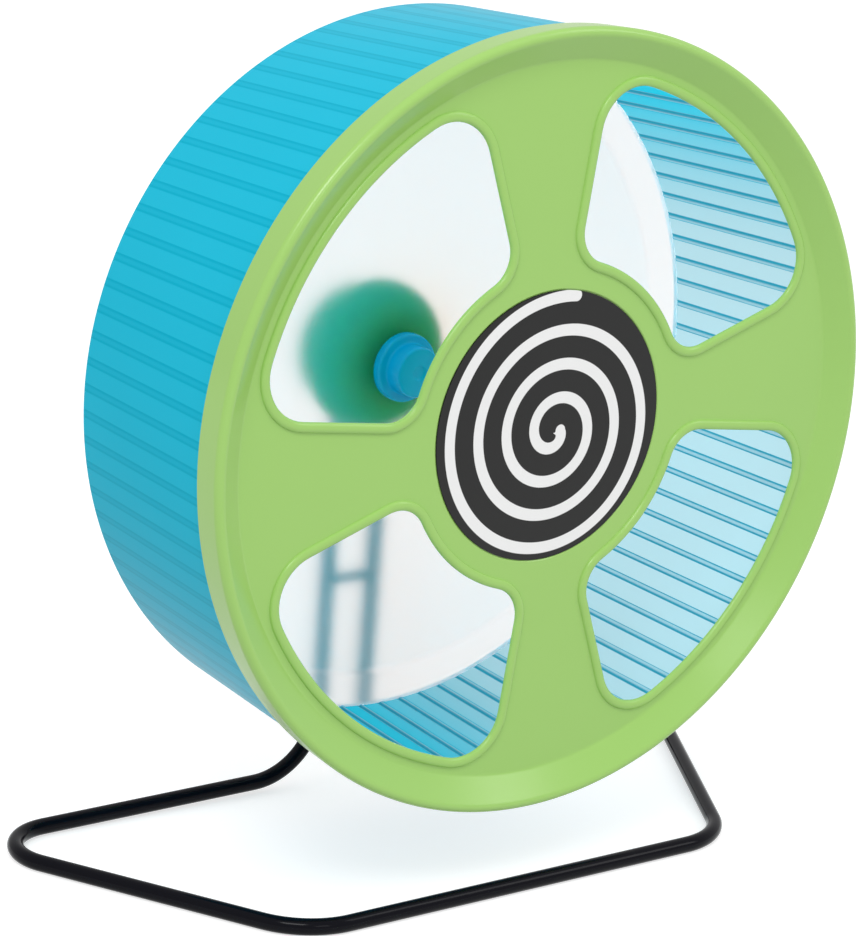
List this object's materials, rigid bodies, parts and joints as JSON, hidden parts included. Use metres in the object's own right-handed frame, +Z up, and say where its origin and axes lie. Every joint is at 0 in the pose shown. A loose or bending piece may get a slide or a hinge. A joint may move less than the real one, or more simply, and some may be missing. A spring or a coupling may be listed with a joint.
{
  "type": "hamster wheel",
  "caption": "Free-standing running wheel for small pets: ribbed drum, spoked front guard with a spiral label, and a bent wire stand with ball-bearing hub.",
  "frame": {"origin": "middle of the bounding box, on the surface that the stand rests on", "axes": "+Z up, +Y along the axle from the open front of the wheel to the stand's uprights, +X to the right seen from the front"},
  "size_m": [0.3042, 0.1331, 0.3116],
  "materials": {
    "green_plastic": "smooth glossy moulded plastic, light green",
    "printed_label": "satin printed label, black with a white spiral",
    "blue_clear_plastic": "translucent blue moulded plastic",
    "frosted_plastic": "pale frosted translucent plastic",
    "blue_plastic": "glossy deep blue plastic",
    "black_coated_wire": "gloss black coating on steel wire",
    "bearing_steel": "ground bearing steel",
    "zinc_plated_steel": "bright zinc plating",
    "cage_plastic": "natural nylon"
  },
  "bodies": {
    "stand": {"stand_wire": "black_coated_wire", "stand_crossbar": "black_coated_wire", "bearing_housing": "green_plastic", "housing_cover": "green_plastic", "cover_screw_1": "zinc_plated_steel", "cover_screw_2": "zinc_plated_steel", "cover_screw_3": "zinc_plated_steel", "cover_screw_4": "zinc_plated_steel", "front_bearing_outer_ring": "bearing_steel", "front_bearing_shield_front": "bearing_steel", "front_bearing_shield_back": "bearing_steel", "rear_bearing_outer_ring": "bearing_steel", "rear_bearing_shield_front": "bearing_steel", "rear_bearing_shield_back": "bearing_steel"},
    "wheel": {"front_guard": "green_plastic", "hub_label": "printed_label", "running_track": "blue_clear_plastic", "back_wall": "frosted_plastic", "hub_cap": "blue_plastic", "axle_bolt": "zinc_plated_steel", "front_washer": "zinc_plated_steel", "hub_sleeve": "bearing_steel", "front_bearing_inner_ring": "bearing_steel", "bearing_spacer": "bearing_steel", "rear_bearing_inner_ring": "bearing_steel", "rear_washer": "zinc_plated_steel", "lock_nut": "zinc_plated_steel"},
    "front_cage": {"front_bearing_cage": "cage_plastic", "front_bearing_ball_1": "bearing_steel", "front_bearing_ball_2": "bearing_steel", "front_bearing_ball_3": "bearing_steel", "front_bearing_ball_4": "bearing_steel", "front_bearing_ball_5": "bearing_steel", "front_bearing_ball_6": "bearing_steel", "front_bearing_ball_7": "bearing_steel"},
    "rear_cage": {"rear_bearing_cage": "cage_plastic", "rear_bearing_ball_1": "bearing_steel", "rear_bearing_ball_2": "bearing_steel", "rear_bearing_ball_3": "bearing_steel", "rear_bearing_ball_4": "bearing_steel", "rear_bearing_ball_5": "bearing_steel", "rear_bearing_ball_6": "bearing_steel", "rear_bearing_ball_7": "bearing_steel"}
  },
  "joints": [
    {"name": "wheel_spin", "type": "hinge", "parent": "stand", "child": "wheel", "pos_m": [0, -0.05535, 0.1714], "axis": [0, 1, 0], "continuous": true},
    {"name": "front_cage_spin", "type": "hinge", "parent": "stand", "child": "front_cage", "pos_m": [0, -0.05535, 0.1714], "axis": [0, 1, 0], "continuous": true},
    {"name": "rear_cage_spin", "type": "hinge", "parent": "stand", "child": "rear_cage", "pos_m": [0, -0.05535, 0.1714], "axis": [0, 1, 0], "continuous": true}
  ],
  "couplings": [
    {"joint": "front_cage_spin", "follows": "wheel_spin", "ratio": 0.372},
    {"joint": "rear_cage_spin", "follows": "wheel_spin", "ratio": 0.372}
  ]
}
